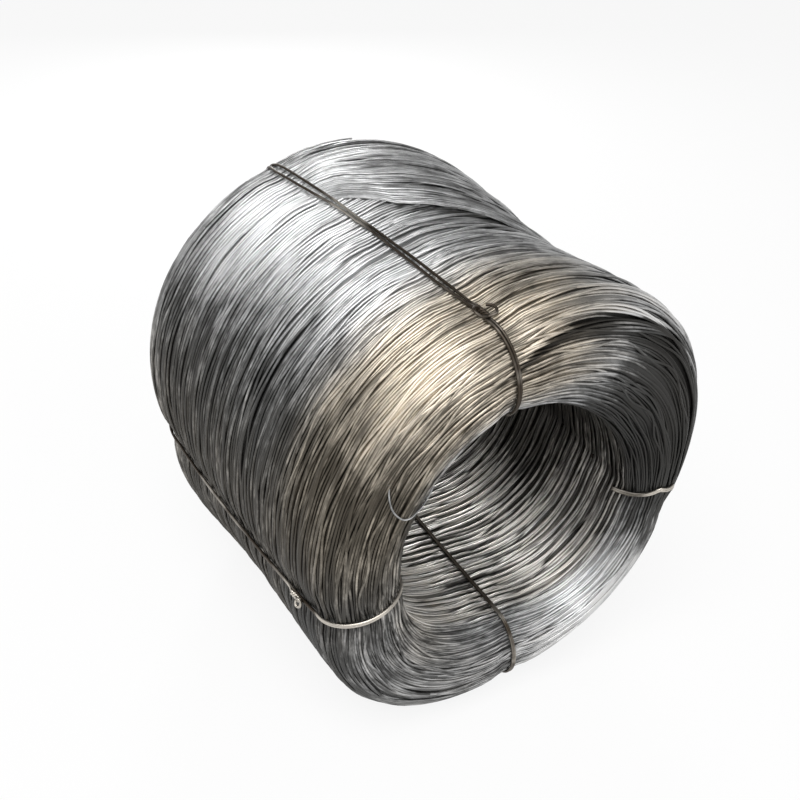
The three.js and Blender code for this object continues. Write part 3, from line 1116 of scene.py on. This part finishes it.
def knot_strand(index, hand, place, base, ties):
    """One of the two twisted ends of a tie: along it, sideways and out from its wraps."""
    wire, half = ties.wire_diameter, ties.knot_length / 2
    rows = [(-half - 0.026, hand * wire / 2, 0.0), (-half - 0.013, hand * wire / 2, 0.3 * wire)]
    for step in np.linspace(0, 1, 12):
        turn = TURN * ties.knot_turns * step
        side, out = (hand * reach(turn) * wire * 0.5 for reach in (math.cos, math.sin))
        rows.append((-half + 2 * half * step, side, wire + out))
    size = KNOTS[TIE_NAMES[index]][1]
    for along, side, out in KNOT_BENDS[hand]:
        rows.append((half + size * along, size * side, wire + size * out))
    along, side, out = flowing(rows, 5).T
    return tie_line(index, place + along, side, base + out)


class COIL_OT_ends(bpy.types.Operator):
    """Add the loose end at the back and the slack loop at the mouth of the bore"""

    bl_idname = "coil.ends"
    bl_label = "Loose ends"

    def execute(self, context):
        wire = context.scene.coil_turns.rod_diameter * LOOSE_SHARE
        for name, nodes in LOOSE_ENDS.items():
            degrees, lengths, lifts = flowing(nodes).T
            angles = np.radians(degrees)
            over = spread(resting_lift(angles, lengths), *END_BRIDGING)
            path = coil_point(angles, lengths, over + lifts)
            values = {"depth": [np.full(len(path), 1.0)], "clean": [np.full(len(path), 0.5)]}
            piece = make_wire(name, [path], False, wire, LOOSE_SIDES, rod_steel(), 3, values)
            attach(piece, "root")
            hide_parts("wire_coil")
        return {"FINISHED"}


class COIL_OT_ties(bpy.types.Operator):
    """Wrap the four wire ties, each twice round and twisted together"""

    bl_idname = "coil.ties"
    bl_label = "Wire ties"

    def execute(self, context):
        rod = context.scene.coil_turns.rod_diameter
        ties = context.scene.coil_ties
        wire = ties.wire_diameter
        nominal = np.linspace(0, ROUND, 241)[:-1]
        over_front = window(past(nominal), -0.03, 0.01, FRONT_END - 0.02, FRONT_END + 0.10)
        for index, name in enumerate(TIES):
            back, _, bright = KNOTS[name]
            parted, hidden = (straying(index, kind, nominal) for kind in ("parting", "under"))
            wraps, lifts = [], []
            for hand in (-1, 1):
                sideways = hand * (wire + WRAP_GAP) / 2
                lifts.append(tie_lift(index, nominal, sideways, rod, wire) - hidden)
                sideways = sideways + parted * (hand > 0)
                wraps.append(tie_line(index, nominal, sideways, lifts[-1]))
            place = ROUND - (FRONT_SHOULDER - (HALF_LENGTH - back))
            near = np.abs(past(nominal, place)) < ties.knot_length
            base = np.max(np.array(lifts)[:, near])
            ends = [knot_strand(index, hand, place, base, ties) for hand in (-1, 1)]
            parts = (
                # The wraps get a painted highlight where they run over the front end, each knot a
                # painted highlight all over.
                ("wraps", wraps, True, [bright * over_front] * 2),
                ("knot", ends, False, [np.full(len(end), bright) for end in ends]),
            )
            for part, paths, closed, bare in parts:
                title, values = f"{name}_{part}", {"bare": bare}
                steel, seed = tie_steel(), index + 1
                piece = make_wire(title, paths, closed, wire, TIE_SIDES, steel, seed, values)
                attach(piece, "root")
                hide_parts(name)
        return {"FINISHED"}


# ---- Studio ----

# Each softbox: the setting that holds its power, its width, and its place from the
# coil's centre.
LAMPS = {
    "Key": ("key_power", 6.0, (2.4, -2.88, 7.08)),
    "Fill": ("fill_power", 4.0, (5.6, 0.8, 4.4)),
    "Bore light": ("bore_power", 1.2, (-3.676, 1.192, 1.036)),
}
FLOOR_SIZE = 30.0
WHITE = (1.0, 1.0, 1.0, 1.0)

# The room's white wall fades out between these heights, where 1 is straight up.
WALL_TOP = (0.25, 0.5)

# The camera: its bearing, height and roll in radians, its distance in metres, and its
# focal length and shift in pixels of a square picture of the given width.
AZIMUTH, ELEVATION, ROLL = 1.017, 0.630, 0.069
DISTANCE = 2.757
PICTURE = 800
FOCAL_LENGTH = 1186.08
SHIFT = (-18.43, 19.19)
SENSOR = 36.0


class COIL_OT_stage(bpy.types.Operator):
    """Make the floor, the lights, the room and the camera"""

    bl_idname = "coil.stage"
    bl_label = "Studio"

    def execute(self, context):
        scene = context.scene
        stage = scene.coil_stage
        centre = Vector(ORIGIN)
        self.floor(stage)
        self.room(scene, stage)
        for name, (setting, size, place) in LAMPS.items():
            self.lamp(name, getattr(stage, setting), size, centre + Vector(place), centre)
        self.camera(scene, centre)
        scene.view_settings.view_transform = "Standard"
        return {"FINISHED"}

    def blank(self, owner):
        """A maker of nodes for a material or world with an empty tree."""
        owner.use_nodes = True
        owner.node_tree.nodes.clear()
        return Value(owner.node_tree)

    def seen(self, shade):
        """1 where the surface is looked at, straight, in a reflection or through glass."""
        rays = shade.tree.nodes.new("ShaderNodeLightPath").outputs
        looked = shade.sum("MAXIMUM", rays["Is Camera Ray"], rays["Is Glossy Ray"])
        return shade.sum("MAXIMUM", looked, rays["Is Transmission Ray"])

    def floor(self, stage):
        mesh = bpy.data.meshes.new("floor")
        corners = ((-1, -1), (1, -1), (1, 1), (-1, 1))
        points = [(x * FLOOR_SIZE, y * FLOOR_SIZE, 0) for x, y in corners]
        mesh.from_pydata(points, [], [(0, 1, 2, 3)])
        floor = add_object("floor", mesh)
        material = bpy.data.materials.new("Pale floor")
        shade = self.blank(material)
        matt = shade.node("ShaderNodeBsdfDiffuse", Color=(*stage.floor_colour, 1.0))
        glow = shade.node("ShaderNodeEmission", Color=WHITE, Strength=1.0)
        both = shade.node("ShaderNodeMixShader", self.seen(shade) * stage.floor_glow, matt, glow)
        shade.node("ShaderNodeOutputMaterial", Surface=both)
        mesh.materials.append(material)

    def room(self, scene, stage):
        scene.world = bpy.data.worlds.new("Room")
        shade = self.blank(scene.world)
        height = shade.part(shade.node("ShaderNodeTexCoord", out="Generated"), "Z")
        wall = 1.0 - height.between(*WALL_TOP)
        level = self.seen(shade) * wall * (1.0 - stage.world_level) + stage.world_level
        light = shade.node("ShaderNodeBackground", Color=WHITE, Strength=level)
        shade.node("ShaderNodeOutputWorld", Surface=light)

    def lamp(self, name, power, size, place, target):
        data = bpy.data.lights.new(name, "AREA")
        data.shape, data.size, data.energy = "DISK", size, power
        lamp = add_object(name, data)
        lamp.location = place
        lamp.rotation_euler = (target - place).to_track_quat("-Z", "Y").to_euler()

    def camera(self, scene, centre):
        level = math.cos(ELEVATION)
        away = Vector((math.sin(AZIMUTH) * level, -math.cos(AZIMUTH) * level, math.sin(ELEVATION)))
        data = bpy.data.cameras.new("Camera")
        data.sensor_width = SENSOR
        data.lens = FOCAL_LENGTH / PICTURE * SENSOR
        data.shift_x, data.shift_y = (shift / PICTURE for shift in SHIFT)
        data.clip_end = 200.0
        camera = add_object("Camera", data)
        right = Vector((math.cos(AZIMUTH), math.sin(AZIMUTH), 0.0))
        up = away.cross(right)
        side = right * math.cos(ROLL) + up * math.sin(ROLL)
        top = up * math.cos(ROLL) - right * math.sin(ROLL)
        place = centre + away * DISTANCE
        rows = [[side[k], top[k], away[k], place[k]] for k in range(3)]
        camera.matrix_world = Matrix(rows + [[0, 0, 0, 1]])
        scene.camera = camera


class COIL_PT_panel(bpy.types.Panel):
    """The coil's sizes, colours and pieces"""

    bl_idname = "COIL_PT_panel"
    bl_label = "Coil of wire rod"
    bl_space_type = "VIEW_3D"
    bl_region_type = "UI"
    bl_category = "Wire Coil"

    def draw(self, context):
        layout = self.layout
        for group in GROUPS:
            box = layout.box()
            settings = getattr(context.scene, group)
            for name in settings.bl_rna.properties.keys():
                if name not in ("rna_type", "name"):
                    box.prop(settings, name)
        for operator in OPERATORS:
            layout.operator(operator.bl_idname)


GROUPS = {
    "coil_turns": CoilTurns,
    "coil_ties": CoilTies,
    "coil_finish": CoilFinish,
    "coil_stage": CoilStage,
}
OPERATORS = (COIL_OT_core, COIL_OT_turns, COIL_OT_ends, COIL_OT_ties, COIL_OT_stage)


def register():
    for item in (*GROUPS.values(), *OPERATORS, COIL_PT_panel):
        bpy.utils.register_class(item)
    for name, group in GROUPS.items():
        setattr(bpy.types.Scene, name, PointerProperty(type=group))


def unregister():
    for name in GROUPS:
        delattr(bpy.types.Scene, name)
    for item in (COIL_PT_panel, *reversed(OPERATORS), *reversed(GROUPS.values())):
        bpy.utils.unregister_class(item)


def main():
    register()
    bpy.ops.coil.core()
    bpy.ops.coil.turns()
    bpy.ops.coil.ends()
    bpy.ops.coil.ties()
    bpy.ops.coil.stage()


if __name__ == "__main__":
    main()
